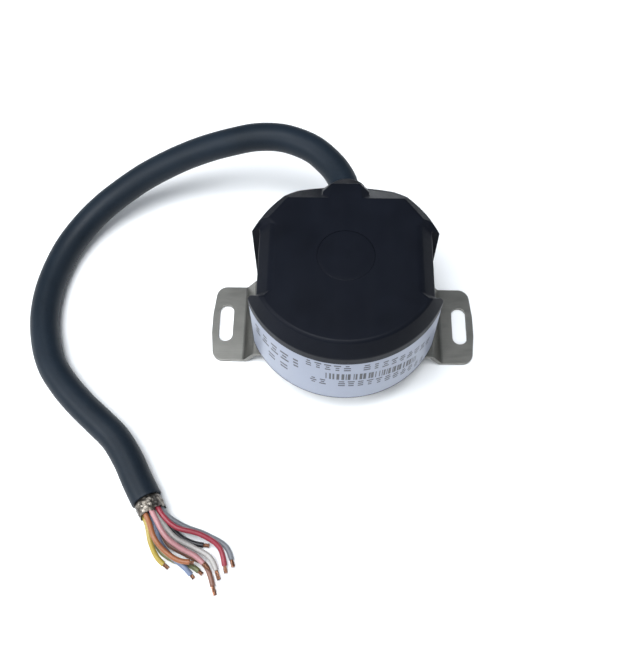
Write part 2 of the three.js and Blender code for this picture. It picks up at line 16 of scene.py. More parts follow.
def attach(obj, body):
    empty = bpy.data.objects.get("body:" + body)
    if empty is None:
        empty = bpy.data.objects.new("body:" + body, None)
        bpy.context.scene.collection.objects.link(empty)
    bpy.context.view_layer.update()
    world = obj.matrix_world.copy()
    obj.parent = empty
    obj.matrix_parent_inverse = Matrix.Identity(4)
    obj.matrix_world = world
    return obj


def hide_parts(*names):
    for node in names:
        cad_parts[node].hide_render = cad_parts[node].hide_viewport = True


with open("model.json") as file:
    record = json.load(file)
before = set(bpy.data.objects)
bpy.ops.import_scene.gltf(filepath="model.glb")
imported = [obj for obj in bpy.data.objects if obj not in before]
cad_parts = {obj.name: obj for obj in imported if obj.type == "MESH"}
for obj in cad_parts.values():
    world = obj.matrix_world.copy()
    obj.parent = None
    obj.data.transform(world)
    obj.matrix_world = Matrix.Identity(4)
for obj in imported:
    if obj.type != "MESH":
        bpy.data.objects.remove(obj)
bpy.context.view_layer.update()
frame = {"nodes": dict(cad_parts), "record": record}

MM = 0.001
SIDES = 160  # sides of the large rounds
SHAFT_SIDES = 128
MEDIUM_SIDES = 96
OUTLET_SIDES = 64
SMALL_SIDES = 40
MOST_SMOOTH = 6  # a face with more corners than this is a flat one, and is shaded flat

# The housing.
BODY_R = 22.0
FLAT_X = 18.5
FLAT_Y = 8.2
TOP_R = 20.1
COVER_Z = 7.8
BAND_Z = 28.0
TOP_Z = 32.2
WALL = 1.6
ROOF = 1.8
INSET_DROP = 0.4  # how far the leaning walls' lower edges drop for each millimetre inwards
BEVEL_SLOPE = 0.84
REAR_BEVEL_Y = 14.45
DIAGONAL_R = 18.7
DIAGONAL_TURN = math.radians(53.7)
FLARE_Z = 29.3
FLARE_LEAN = (1.0, 0.59)
FLARE_CORNER = {-1: 1.5, 1: 2.4}  # at its front end and at its rear end
FLARE_TOP_X = 15.6
FLARE_ROUND = 1.0
RIM_ROUND = 0.6
SKIN_ROUND = 0.3  # the cover's other edges
PLUG_R = 6.1
LABEL_R = 21.8
FILM_R = 21.95
LABEL_Z = (8.05, 25.65)
LABEL_HALF = math.radians(67.4)
INK_R = (FILM_R - 0.02, FILM_R + 0.015)  # the ink's inner and outer radius

# The base, the bracket and the shaft.
PLATE = 0.8
PLATE_Z = 3.4
EAR_X = 31.3
EAR_Y = 9.9
SLOT_X = 28.0
SLOT_W = 3.4
SLOT_L = 9.7
BASE_Z = 4.5
FLANGE_Z = 6.6
FLOOR_Z = 7.6
SPIGOT_Z = 9.6
BOSS_R = 13.0
BOSS_Z = 17.7
SEAT_R = 10.55  # the bearings' seats
SEAT_MOUTH_R = 10.85
LAND_R = 9.6  # the land between them
LAND_Z = (11.2, 12.4)
COVER_SCREWS = ((9.5, 15), (-9.5, 15), (6.5, -16.5), (-6.5, -16.5))
BRACKET_SCREWS = ((13.5, 7), (-13.5, 7), (13.5, -7), (-13.5, -7))

# The cable.
CABLE_X = 0.5
CABLE_Z = 22.3
OUTLET_X = CABLE_X - 0.05
OUTLET_R = 4.25
BOOT_X = CABLE_X - 0.1
JACKET_R = 3.37
JACKET_BORE = 2.75
WIRE_R = 0.58
STRANDS = 6  # round a middle one
STRAND_R = 0.12
STRAND_RING = 0.26

# The cable's middle line in metres, from inside the housing to the cut end of its jacket.
ROUTE = [
    (0.0005, 0.0149, 0.0223), (0.0005, 0.0195, 0.0223), (0.0002, 0.023, 0.0223),
    (-0.0005, 0.0261, 0.0223), (-0.0022, 0.0296, 0.0223), (-0.0044, 0.0325, 0.0223),
    (-0.0072, 0.0353, 0.0223), (-0.011, 0.0377, 0.0221), (-0.0155, 0.0394, 0.0218),
    (-0.0215, 0.0402, 0.0209), (-0.0273, 0.04, 0.0194), (-0.0333, 0.0395, 0.0175),
    (-0.039, 0.0388, 0.0152), (-0.0447, 0.0375, 0.0128), (-0.0503, 0.0357, 0.0103),
    (-0.0553, 0.0331, 0.0082), (-0.0602, 0.0296, 0.0064), (-0.0646, 0.0251, 0.0048),
    (-0.0683, 0.0189, 0.0038), (-0.0704, 0.0124, 0.0034), (-0.0713, 0.0063, 0.0034),
    (-0.0712, -0.0003, 0.0034), (-0.0699, -0.0067, 0.0034), (-0.0675, -0.0128, 0.0034),
    (-0.0638, -0.0179, 0.0034), (-0.0594, -0.0225, 0.0034), (-0.0549, -0.0265, 0.0034),
    (-0.0504, -0.0306, 0.0034), (-0.0469, -0.0355, 0.0034), (-0.0442, -0.0404, 0.0034),
    (-0.0418, -0.0444, 0.0034),
]

# Each conductor's colour, its place in the cut end, across and up from the cable's middle, and
# the points that it passes through, in millimetres.
WIRES = {
    "grey": (2.15, 0, ((-33.6, -49.6, 2.6), (-28.6, -51.2, 1.6), (-24.3, -53.6, 0.8),
                       (-22.6, -57.6, 0.7))),
    "red": (1.5, 1.5, ((-35, -50.3, 4.6), (-29.6, -51.6, 3.6), (-25.6, -54, 2.4),
                       (-24, -59, 1.2))),
    "black": (1.5, -1.5, ((-34.2, -51.6, 1.1), (-31, -52.9, 0.7), (-28, -53.3, 0.7))),
    "white": (0.7, 0, ((-35.2, -52.1, 3.1), (-31.2, -54, 2.2), (-27.4, -56.1, 1.8),
                       (-25.4, -60.3, 0.8))),
    "pink": (0, 2.15, ((-36.8, -52.3, 4.9), (-33.8, -54.4, 3.8), (-30.4, -56, 2.9),
                       (-27.6, -58.4, 2.3))),
    "brown": (0, -2.15, ((-36.8, -53, 1.2), (-32.8, -55.2, 0.8), (-28.6, -57.3, 0.8),
                         (-26, -63.4, 0.7))),
    "orange": (-1.5, 1.5, ((-38.9, -53, 4.9), (-36.6, -55.4, 4.1), (-33.8, -57, 3.6),
                           (-30.6, -57.4, 3.3))),
    "green": (-1.5, -1.5, ((-38.4, -54.4, 1.2), (-35, -56.6, 0.8), (-31.4, -57.6, 0.7),
                           (-29, -59.2, 0.7))),
    "yellow": (-2.15, 0, ((-40.2, -53.2, 2.8), (-38.6, -56.2, 1.6), (-36.2, -58.2, 0.8))),
    "blue": (-0.7, 0, ((-38, -53.4, 2.9), (-35.6, -56, 2.4), (-32.6, -58.2, 2),
                       (-30.6, -60.2, 1.2))),
}
WIRE_COLOURS = {
    "grey": (0.13, 0.135, 0.15), "red": (0.19, 0.02, 0.032), "black": (0.009, 0.009, 0.012),
    "white": (0.3, 0.285, 0.27), "pink": (0.29, 0.14, 0.145), "brown": (0.14, 0.065, 0.045),
    "orange": (0.21, 0.075, 0.03), "green": (0.1, 0.105, 0.045), "yellow": (0.27, 0.2, 0.04),
    "blue": (0.11, 0.135, 0.2),
}


# ---------------------------------------------------------------- camera, light and floor

def add_camera():
    place = Vector((-0.003945, -0.09254, 0.1803))
    forward = Vector((-0.01547, 0.45865, -0.88848))
    right = Vector((0.99977, 0.0204, -0.00688))
    up = right.cross(forward)
    turn = Matrix((right, up, -forward)).transposed().to_4x4()
    data = bpy.data.cameras.new("camera")
    data.sensor_width = 36
    data.lens = 46.643
    data.clip_start = 0.001
    camera = bpy.data.objects.new("camera", data)
    camera.matrix_world = Matrix.Translation(place) @ turn
    bpy.context.scene.collection.objects.link(camera)
    bpy.context.scene.camera = camera


def area_light(name, place, size, power, colour=(1, 1, 1), aim=(0, 0, 0.01), spread=180):
    data = bpy.data.lights.new(name, "AREA")
    data.shape = "RECTANGLE"
    data.size, data.size_y = size
    data.energy = power
    data.color = colour
    data.spread = math.radians(spread)
    light = bpy.data.objects.new(name, data)
    light.location = place
    light.rotation_euler = (Vector(aim) - Vector(place)).to_track_quat("-Z", "Y").to_euler()
    bpy.context.scene.collection.objects.link(light)


def add_lights():
    cool = (0.93, 0.965, 1)
    area_light("top_softbox", (-0.09, -0.06, 0.55), (0.34, 0.3), 1.5, cool, (-0.04, 0, 0), 110)
    area_light("front_softbox", (-0.2, -0.75, 0.6), (0.7, 0.5), 2.8, cool)
    area_light("left_softbox", (-0.75, -0.1, 0.5), (0.6, 0.5), 2.2, cool)
    area_light("right_softbox", (0.75, 0.05, 0.5), (0.6, 0.5), 0.8, cool)
    area_light("left_floor_wash", (-0.3, -0.14, 0.22), (0.16, 0.12), 0.9, cool, (-0.3, -0.14, 0))
    world = bpy.data.worlds.new("studio")
    world.use_nodes = True
    background = world.node_tree.nodes["Background"]
    background.inputs["Color"].default_value = (0.78, 0.88, 1, 1)
    background.inputs["Strength"].default_value = 0.2
    bpy.context.scene.world = world
    bpy.context.scene.view_settings.view_transform = "Standard"


# ---------------------------------------------------------------- materials

class Look:
    """One procedural material: its node tree, and short calls that add nodes to it."""

    def __init__(self, name, roughness, metallic=0.0, ior=1.5):
        self.material = bpy.data.materials.new(name)
        self.material.use_nodes = True
        self.tree = self.material.node_tree
        self.shader = self.tree.nodes["Principled BSDF"]
        self.shader.inputs["Metallic"].default_value = metallic
        self.shader.inputs["IOR"].default_value = ior
        self.shader.inputs["Roughness"].default_value = roughness
        self.place = self.tree.nodes.new("ShaderNodeTexCoord").outputs["Object"]

    def link(self, source, target):
        self.tree.links.new(source, target)

    def stretched(self, x, y, z):
        node = self.tree.nodes.new("ShaderNodeMapping")
        node.inputs["Scale"].default_value = (x, y, z)
        self.link(self.place, node.inputs["Vector"])
        return node.outputs["Vector"]

    def grain(self, per_metre, detail=3.0, vector=None):
        node = self.tree.nodes.new("ShaderNodeTexNoise")
        node.inputs["Scale"].default_value = per_metre
        node.inputs["Detail"].default_value = detail
        self.link(vector or self.place, node.inputs["Vector"])
        return node.outputs["Fac"]

    def spread(self, source, low, high, start=0.3, stop=0.7):
        node = self.tree.nodes.new("ShaderNodeMapRange")
        node.inputs["From Min"].default_value = start
        node.inputs["From Max"].default_value = stop
        node.inputs["To Min"].default_value = low
        node.inputs["To Max"].default_value = high
        self.link(source, node.inputs["Value"])
        return node.outputs["Result"]

    def mix(self, amount, first, second):
        node = self.tree.nodes.new("ShaderNodeMix")
        node.data_type = "RGBA"
        self.link(amount, node.inputs["Factor"])
        for socket, value in ((node.inputs[6], first), (node.inputs[7], second)):
            if isinstance(value, tuple):
                socket.default_value = (*value, 1)
            else:
                self.link(value, socket)
        return node.outputs[2]

    def colour(self, source):
        self.link(source, self.shader.inputs["Base Color"])

    def rough(self, source):
        self.link(source, self.shader.inputs["Roughness"])

    def bump(self, *heights):
        """Each height is a source and its depth in metres."""
        last = None
        for source, depth in heights:
            node = self.tree.nodes.new("ShaderNodeBump")
            node.inputs["Strength"].default_value = 1
            node.inputs["Distance"].default_value = depth
            self.link(source, node.inputs["Height"])
            if last:
                self.link(last, node.inputs["Normal"])
            last = node.outputs["Normal"]
        self.link(last, self.shader.inputs["Normal"])

    def edges(self, low=0.52, high=0.6):
        """1 on worn convex edges, 0 elsewhere."""
        point = self.tree.nodes.new("ShaderNodeNewGeometry").outputs["Pointiness"]
        return self.spread(point, 0, 1, low, high)


def tint(colour, by):
    return tuple(min(1.0, c * by) for c in colour)


def moulded(name, colour, roughness, grain=7000, depth=6e-6, spread=0.07, wear=1.6, ior=1.5):
    """Moulded plastic: fine spark-eroded grain, faint handling marks and paler edges."""
    look = Look(name, roughness, ior=ior)
    cloud = look.grain(120, 4)
    base = look.mix(look.spread(cloud, 0, 1), tint(colour, 0.85), tint(colour, 1.2))
    look.colour(look.mix(look.edges(), base, tint(colour, wear)))
    marks = look.grain(60, 6, look.stretched(6, 1, 1))
    look.rough(look.spread(marks, roughness - spread, roughness + spread))
    look.bump((look.grain(grain, 2), depth), (cloud, 4e-5))
    return look.material


def brushed(name, colour, roughness, direction, depth=4e-6, wear=1.08):
    """Rolled or turned metal: fine lines along one direction and dull patches."""
    look = Look(name, roughness, metallic=1)
    lines = look.grain(900, 5, look.stretched(*direction))
    cloud = look.grain(160, 5)
    base = look.mix(look.spread(cloud, 0, 1), tint(colour, 0.82), tint(colour, 1.12))
    look.colour(look.mix(look.edges(), base, tint(colour, wear)))
    look.rough(look.spread(lines, roughness - 0.08, roughness + 0.12))
    look.bump((lines, depth), (look.grain(5000, 2), depth / 2))
    return look.material


def rubbery(name, colour, roughness, depth=1.2e-5, scale=3500, ior=1.4):
    """Rubber or soft PVC: matte, with a dusty bloom and a fine uneven skin."""
    look = Look(name, roughness, ior=ior)
    cloud = look.grain(90, 5)
    fine = look.grain(scale, 3)
    base = look.mix(look.spread(cloud, 0, 1), tint(colour, 0.8), tint(colour, 1.3))
    look.colour(look.mix(look.spread(fine, 0, 0.35), base, tint(colour, 1.9)))
    look.rough(look.spread(fine, roughness - 0.08, roughness + 0.1))
    look.bump((fine, depth), (cloud, 6e-5))
    return look.material


def label_film():
    """Silver-white polyester film: faint pearl, a soft satin and a slightly uneven lay."""
    look = Look("label_film", 0.36, metallic=0.15)
    cloud = look.grain(140, 4)
    fine = look.grain(9000, 2)
    base = look.mix(look.spread(cloud, 0, 1), (0.235, 0.26, 0.33), (0.275, 0.3, 0.375))
    look.colour(look.mix(look.spread(fine, 0, 0.3), base, (0.19, 0.22, 0.285)))
    look.rough(look.spread(cloud, 0.3, 0.44))
    look.bump((fine, 3e-6), (cloud, 5e-5))
    return look.material


def foil_look():
    """Crumpled shield foil, with painted shade that darkens its colour towards its folds."""
    look = Look("foil", 0.3, metallic=1)
    folds = look.tree.nodes.new("ShaderNodeTexVoronoi")
    folds.inputs["Scale"].default_value = 1300
    look.link(look.place, folds.inputs["Vector"])
    facets = folds.outputs["Distance"]
    # painted shade: the colour darkens with the distance from each facet's middle, towards the
    # folds between facets
    depth = look.spread(facets, 0, 1, 0, 0.8)
    look.colour(look.mix(depth, (0.3, 0.27, 0.235), (0.07, 0.06, 0.05)))
    look.rough(look.spread(look.grain(1500, 3), 0.26, 0.5))
    look.bump((facets, 1.6e-4), (look.grain(4000, 3), 3e-5))
    return look.material


def copper_look():
    look = Look("copper_strand", 0.3, metallic=1)
    cloud = look.grain(2500, 3)
    look.colour(look.mix(look.spread(cloud, 0, 1), (0.34, 0.17, 0.1), (0.16, 0.08, 0.055)))
    look.rough(look.spread(cloud, 0.22, 0.5))
    look.bump((cloud, 1e-5))
    return look.material


def glassy(name, colour):
    look = Look(name, 0.06, ior=1.5)
    look.shader.inputs["Transmission Weight"].default_value = 0.85
    cloud = look.grain(400, 3)
    look.colour(look.mix(look.spread(cloud, 0, 1), tint(colour, 0.92), colour))
    look.rough(look.spread(cloud, 0.03, 0.1))
    look.bump((cloud, 2e-6))
    return look.material


def floor_look():
    look = Look("floor_paper", 0.9)
    cloud = look.spread(look.grain(25, 4), 0, 1)
    look.colour(look.mix(cloud, (0.9, 0.9, 0.9), (0.92, 0.92, 0.92)))
    look.bump((look.grain(900, 3), 1e-5))
    return look.material


LOOKS = {
    "black_plastic": moulded("black_plastic", (0.0048, 0.0058, 0.0092), 0.4, spread=0.05,
                             wear=1.1, ior=1.15),
    "label_film": label_film(),
    "label_ink": moulded("label_ink", (0.012, 0.013, 0.02), 0.4, spread=0.08, wear=1),
    "rubber": rubbery("rubber", (0.009, 0.009, 0.011), 0.5),
    "cast_aluminium": brushed("cast_aluminium", (0.58, 0.59, 0.6), 0.34, (3, 3, 1)),
    "spring_steel": brushed("spring_steel", (0.2, 0.196, 0.18), 0.42, (0.25, 6, 1)),
    "screw_steel": brushed("screw_steel", (0.6, 0.61, 0.62), 0.26, (3, 3, 1)),
    "bearing_steel": brushed("bearing_steel", (0.68, 0.69, 0.7), 0.16, (1, 1, 8), 1.5e-6),
    "optical_glass": glassy("optical_glass", (0.82, 0.88, 0.88)),
    "dark_resin": moulded("dark_resin", (0.02, 0.02, 0.023), 0.5),
    "board_green": moulded("board_green", (0.015, 0.1, 0.04), 0.35, grain=2500),
    "capacitor_case": moulded("capacitor_case", (0.35, 0.2, 0.05), 0.4),
    "connector_plastic": moulded("connector_plastic", (0.72, 0.68, 0.56), 0.45, wear=1.1),
    "lead_cover": moulded("lead_cover", (0.28, 0.29, 0.31), 0.5),
    "cable_pvc": rubbery("cable_pvc", (0.0066, 0.0108, 0.0165), 0.46, ior=1.25),
    "foil": foil_look(),
    "copper_strand": copper_look(),
}
for wire_name, wire_colour in WIRE_COLOURS.items():
    LOOKS[f"wire_{wire_name}_pvc"] = rubbery(f"wire_{wire_name}_pvc", wire_colour, 0.34, 6e-6)


# ---------------------------------------------------------------- shapes, in millimetres

def closed(bm):
    bmesh.ops.recalc_face_normals(bm, faces=bm.faces)
    return bm


def spin(profile, sides=SIDES, ring=False):
    """A round body about Z from (radius, height) points; a ring's profile closes on itself."""
    bm = bmesh.new()
    turns = [2 * math.pi * k / sides for k in range(sides)]
    loops = []
    for radius, z in profile:
        loops.append([bm.verts.new((radius * math.cos(t), radius * math.sin(t), z)) for t in turns])
    pairs = list(zip(loops, loops[1:]))
    if ring:
        pairs.append((loops[-1], loops[0]))
    for low, high in pairs:
        for k in range(sides):
            n = (k + 1) % sides
            bm.faces.new((low[k], low[n], high[n], high[k]))
    if not ring:
        bm.faces.new(loops[0][::-1])
        bm.faces.new(loops[-1])
    return closed(bm)


def fillet(points, radius, loop=True, steps=4):
    """The outline with its corners rounded; the ends of one that is not a loop stay."""
    made = []
    count = len(points)
    for i, point in enumerate(points):
        here = Vector(point)
        if not loop and i in (0, count - 1):
            made.append(tuple(here))
            continue
        before = Vector(points[i - 1]) - here
        after = Vector(points[(i + 1) % count]) - here
        half = before.angle(after) / 2
        cut = min(radius / math.tan(half), 0.45 * before.length, 0.45 * after.length)
        before.normalize()
        after.normalize()
        middle = here + (before + after).normalized() * (cut / math.cos(half))
        start = here + before * cut - middle
        stop = here + after * cut - middle
        for k in range(steps + 1):
            reach = start.lerp(stop, k / steps).normalized() * start.length
            made.append(tuple(middle + reach))
    return made


def prism(outline, z0, z1):
    bm = bmesh.new()
    low = [bm.verts.new((x, y, z0)) for x, y in outline]
    high = [bm.verts.new((x, y, z1)) for x, y in outline]
    bm.faces.new(low[::-1])
    bm.faces.new(high)
    for k in range(len(low)):
        n = (k + 1) % len(low)
        bm.faces.new((low[k], low[n], high[n], high[k]))
    return closed(bm)


def block(x, y, z):
    return prism(((x[0], y[0]), (x[1], y[0]), (x[1], y[1]), (x[0], y[1])), *z)


def rod(at, radius, z0, z1, sides=SMALL_SIDES):
    return moved(spin(((radius, z0), (radius, z1)), sides), Matrix.Translation((*at, 0)))


def hull(points):
    bm = bmesh.new()
    for point in points:
        bm.verts.new(point)
    made = bmesh.ops.convex_hull(bm, input=bm.verts)
    bmesh.ops.delete(bm, geom=made["geom_interior"], context="VERTS")
    bmesh.ops.dissolve_limit(bm, angle_limit=0.01, verts=bm.verts, edges=bm.edges)
    return closed(bm)


def moved(bm, matrix):
    bmesh.ops.transform(bm, matrix=matrix, verts=bm.verts)
    return bm


def temporary(bm):
    mesh = bpy.data.meshes.new("temporary")
    bm.to_mesh(mesh)
    bm.free()
    obj = bpy.data.objects.new("temporary", mesh)
    bpy.context.scene.collection.objects.link(obj)
    return obj


def evaluated(obj):
    bm = bmesh.new()
    bm.from_object(obj, bpy.context.evaluated_depsgraph_get())
    return bm


def discard(*objects):
    for obj in objects:
        mesh = obj.data
        bpy.data.objects.remove(obj)
        bpy.data.meshes.remove(mesh)


def combine(first, second, operation):
    a, b = temporary(first), temporary(second)
    modifier = a.modifiers.new("combine", "BOOLEAN")
    modifier.object = b
    modifier.operation = operation
    modifier.solver = "EXACT"
    made = evaluated(a)
    discard(a, b)
    return tidy(made)


def tidy(bm, angle=0.004):
    bmesh.ops.remove_doubles(bm, verts=bm.verts, dist=0.004)
    bmesh.ops.dissolve_degenerate(bm, edges=bm.edges, dist=0.004)
    bmesh.ops.dissolve_limit(bm, angle_limit=angle, verts=bm.verts, edges=bm.edges)
    return bm


def cut(bm, *cutters):
    for cutter in cutters:
        bm = combine(bm, cutter, "DIFFERENCE")
    return bm


def join(bm, other):
    return combine(bm, other, "UNION")


def common(bm, other):
    return combine(bm, other, "INTERSECT")


def soften(bm, width, angle, segments=3):
    """Rounds every edge that is sharper than the angle; edges too short to round close up first."""
    bmesh.ops.remove_doubles(bm, verts=bm.verts, dist=min(0.12, width / 2))
    obj = temporary(bm)
    modifier = obj.modifiers.new("soften", "BEVEL")
    modifier.width = width
    modifier.segments = segments
    modifier.limit_method = "ANGLE"
    modifier.angle_limit = angle
    modifier.use_clamp_overlap = False
    made = evaluated(obj)
    discard(obj)
    return made


def soften_skin(bm, skin, angle, width_of, segments=4):
    """Rounds the sharp edges between faces that lie on the skin, and leaves the cuts in it."""
    bmesh.ops.remove_doubles(bm, verts=bm.verts, dist=0.1)
    bmesh.ops.dissolve_degenerate(bm, edges=bm.edges, dist=0.01)
    on_skin = {face for face in bm.faces if skin.find_nearest(face.calc_center_median())[3] < 0.02}
    weight = bm.edges.layers.float.new("bevel_weight_edge")
    for edge in bm.edges:
        if len(edge.link_faces) == 2 and on_skin.issuperset(edge.link_faces):
            if edge.calc_face_angle() > angle:
                edge[weight] = width_of(edge)
    obj = temporary(bm)
    modifier = obj.modifiers.new("soften", "BEVEL")
    modifier.width = 1
    modifier.segments = segments
    modifier.limit_method = "WEIGHT"
    modifier.use_clamp_overlap = False
    made = evaluated(obj)
    discard(obj)
    return made


def slice_off(bm, point, normal):
    """Cuts away what lies beyond a plane, and closes the cut."""
    made = bmesh.ops.bisect_plane(
        bm, geom=[*bm.verts, *bm.edges, *bm.faces], dist=1e-5,
        plane_co=point, plane_no=normal, clear_outer=True)
    rim = [item for item in made["geom_cut"] if isinstance(item, bmesh.types.BMEdge)]
    bmesh.ops.contextual_create(bm, geom=rim)
    return bm


def frames_along(path):
    """Each point of a path with two directions across it, turned as little as possible."""
    heads = []
    for i in range(len(path)):
        heads.append((path[min(i + 1, len(path) - 1)] - path[max(i - 1, 0)]).normalized())
    side = heads[0].cross(Vector((0, 0, 1))).normalized()
    made = []
    for point, head in zip(path, heads):
        side = (side - head * side.dot(head)).normalized()
        made.append((point, side, head.cross(side)))
    return made


def loft(stations, sides, radii):
    """A closed body through round sections, with one radius for each station."""
    bm = bmesh.new()
    loops = []
    for (point, side, up), radius in zip(stations, radii):
        loop = []
        for k in range(sides):
            turn = 2 * math.pi * k / sides
            reach = side * math.cos(turn) + up * math.sin(turn)
            loop.append(bm.verts.new(point + reach * radius))
        loops.append(loop)
    for low, high in zip(loops, loops[1:]):
        for k in range(sides):
            n = (k + 1) % sides
            bm.faces.new((low[k], low[n], high[n], high[k]))
    bm.faces.new(loops[0][::-1])
    bm.faces.new(loops[-1])
    return closed(bm)


def smooth_path(points, steps):
    """A centripetal Catmull-Rom curve through the points."""
    points = [Vector(p) for p in points]
    padded = [2 * points[0] - points[1], *points, 2 * points[-1] - points[-2]]
    made = []
    for i in range(len(points) - 1):
        p0, p1, p2, p3 = padded[i:i + 4]
        knots = [0.0]
        for a, b in ((p0, p1), (p1, p2), (p2, p3)):
            knots.append(knots[-1] + math.sqrt((b - a).length))
        for k in range(steps):
            t = knots[1] + (knots[2] - knots[1]) * k / steps

            def between(a, b, m, n):
                return a.lerp(b, (t - knots[m]) / (knots[n] - knots[m]))

            a1, a2, a3 = between(p0, p1, 0, 1), between(p1, p2, 1, 2), between(p2, p3, 2, 3)
            made.append(between(between(a1, a2, 0, 2), between(a2, a3, 1, 3), 1, 2))
    return [*made, points[-1]]


def piece(name, bm, slots, replaced=(), body="housing", sharp=32, weighted=True):
    """A finished piece: scaled to metres, shaded, coloured, and riding on its body."""
    slots = [slots] if isinstance(slots, str) else slots
    name = f"{name}_detail"
    mesh = bpy.data.meshes.new(name)
    bmesh.ops.recalc_face_normals(bm, faces=bm.faces)
    for face in bm.faces:
        face.smooth = len(face.verts) <= MOST_SMOOTH
    bm.to_mesh(mesh)
    bm.free()
    mesh.transform(Matrix.Scale(MM, 4))
    mesh.set_sharp_from_angle(angle=math.radians(sharp))
    for slot in slots:
        mesh.materials.append(LOOKS[slot])
    obj = bpy.data.objects.new(name, mesh)
    bpy.context.scene.collection.objects.link(obj)
    if weighted:
        normals = obj.modifiers.new("normals", "WEIGHTED_NORMAL")
        normals.keep_sharp = True
        normals.weight = 100
    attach(obj, body)
    if replaced:
        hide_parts(*replaced)
    return obj


# ---------------------------------------------------------------- the housing

def side_cut(side, inset):
    inner = FLAT_X - inset
    x = (inner, BODY_R + 2) if side > 0 else (-BODY_R - 2, -inner)
    return block(x, (-FLAT_Y - inset, FLAT_Y + inset), (-1, TOP_Z + 2))


def flare(side, inset):
    """The room over one side flat, where it leans inwards to the top face."""
    x, y, z0 = FLAT_X - inset, FLAT_Y + inset, FLARE_Z - INSET_DROP * inset
    rise = TOP_Z + 1 - z0
    outer = x + 8
    points = []
    for end in (-1, 1):
        top_y = end * (y + FLARE_LEAN[1] * rise)
        top_x = x - FLARE_LEAN[0] * rise
        points += [(x, end * y, z0), (outer, end * y, z0), (outer, top_y, TOP_Z + 1)]
        points += [(top_x, top_y - end * FLARE_CORNER[end], TOP_Z + 1)]
        points += [(top_x + FLARE_CORNER[end], top_y, TOP_Z + 1)]
    return hull([(side * a, b, c) for a, b, c in points])


def cover_block(inset, z0, z1):
    """The cover's outer block, or with an inset the space inside it."""
    band = BAND_Z - INSET_DROP * inset
    radius = BODY_R - inset
    bm = spin(((radius, z0), (radius, band), (TOP_R - inset, z1)))
    drop = inset * math.hypot(1, BEVEL_SLOPE)
    bevels = ((0, REAR_BEVEL_Y), (DIAGONAL_TURN, DIAGONAL_R), (-DIAGONAL_TURN, DIAGONAL_R))
    for turn, reach in bevels:
        out = Vector((math.sin(turn), math.cos(turn), 0))
        normal = Vector((out.x * BEVEL_SLOPE, out.y * BEVEL_SLOPE, 1)).normalized()
        slice_off(bm, out * reach + Vector((0, 0, TOP_Z - drop)), normal)
    return cut(bm, side_cut(1, inset), side_cut(-1, inset), flare(1, inset), flare(-1, inset))


def hood():
    """The hood over the cable's outlet, which runs out of the top face over the rear bevel."""
    half, flat_half, tip_half, rear_half = 5.1, 3.7, 3, 3.6
    start, shoulder_y, tip_y, side_y, rear_y = 12, 17.2, 18.4, 20.2, 21.7
    low, rear_z, side_z, shoulder_z = 17.5, 27.4, 27.6, 30.8
    points = []
    for side in (-1, 1):
        points += [
            (side * half, start, low), (side * half, start, shoulder_z),
            (side * flat_half, start, TOP_Z), (side * tip_half, tip_y, TOP_Z),
            (side * half, shoulder_y, shoulder_z), (side * half, side_y, side_z),
            (side * half, side_y, low), (side * rear_half, rear_y, low),
            (side * rear_half, rear_y, rear_z),
        ]
    return hull(points)


def front_strip(r0, r1, z0, z1, half, steps=96):
    """A curved strip of the housing's front."""
    turns = [-math.pi / 2 - half + 2 * half * k / steps for k in range(steps + 1)]
    outer = [(r1 * math.cos(t), r1 * math.sin(t)) for t in turns]
    inner = [(r0 * math.cos(t), r0 * math.sin(t)) for t in reversed(turns)]
    return prism(outer + inner, z0, z1)


def outlet_bar(profile, x=OUTLET_X, ring=False):
    """A round bar along Y, for what runs out through the rear wall."""
    turn = Matrix.Translation((x, 0, CABLE_Z)) @ Matrix.Rotation(-math.pi / 2, 4, "X")
    return moved(spin(profile, OUTLET_SIDES, ring), turn)


def cover():
    """The moulded cap, with its outlet, the label's recess and the plug's hole."""
    air, air_turn, plug_air = 0.04, 0.003, 0.02
    bm = join(cover_block(0, COVER_Z, TOP_Z), hood())
    skin = BVHTree.FromBMesh(bm)
    inside = cover_block(WALL, COVER_Z - 1, TOP_Z - ROOF)
    outlet = outlet_bar(((OUTLET_R, 12), (OUTLET_R, 24)))
    recess = front_strip(LABEL_R - air, BODY_R + 1, LABEL_Z[0] - air, LABEL_Z[1] + air,
                         LABEL_HALF + air_turn)
    hole_r = PLUG_R + plug_air
    plug_hole = spin(((hole_r, TOP_Z - 5), (hole_r, TOP_Z + 1)), MEDIUM_SIDES)

    def width_of(edge):
        ends = [v.co for v in edge.verts]
        if min(p.z for p in ends) < TOP_Z - 0.05:
            return SKIN_ROUND
        if all(abs(abs(p.x) - FLARE_TOP_X) < 0.2 for p in ends):
            return FLARE_ROUND
        if all(p.y < -FLAT_Y and math.hypot(p.x, p.y) > TOP_R - 0.2 for p in ends):
            return RIM_ROUND
        return SKIN_ROUND

    bm = soften_skin(cut(bm, outlet, inside, recess, plug_hole), skin, math.radians(15), width_of)
    for vert in bm.verts:
        if abs(vert.co.z - TOP_Z) < 0.01:
            vert.co.z = TOP_Z
    tidy(bm)
    return piece("cover", bm, "black_plastic", ["cover"])


def access_plug():
    """The plug over the shaft's bolt, with a rounded rim and a lip that snaps under the roof."""
    foot_r, foot_z, lip_r, face = 5.8, 28.4, 6.2, TOP_Z - 0.02
    outline = [(5.2, foot_z), (foot_r, foot_z), (lip_r, 29.2), (lip_r, 29.9), (PLUG_R, 30.2),
               (PLUG_R, face), (5, face)]
    rounded = fillet(outline, 0.14, loop=False, steps=5)
    return piece("access_plug", spin(rounded, MEDIUM_SIDES), "black_plastic", ["access_plug"])


def label():
    film = soften(front_strip(LABEL_R, FILM_R, *LABEL_Z, LABEL_HALF), 0.03, math.radians(40), 2)
    return piece("label", film, "label_film", ["label"])


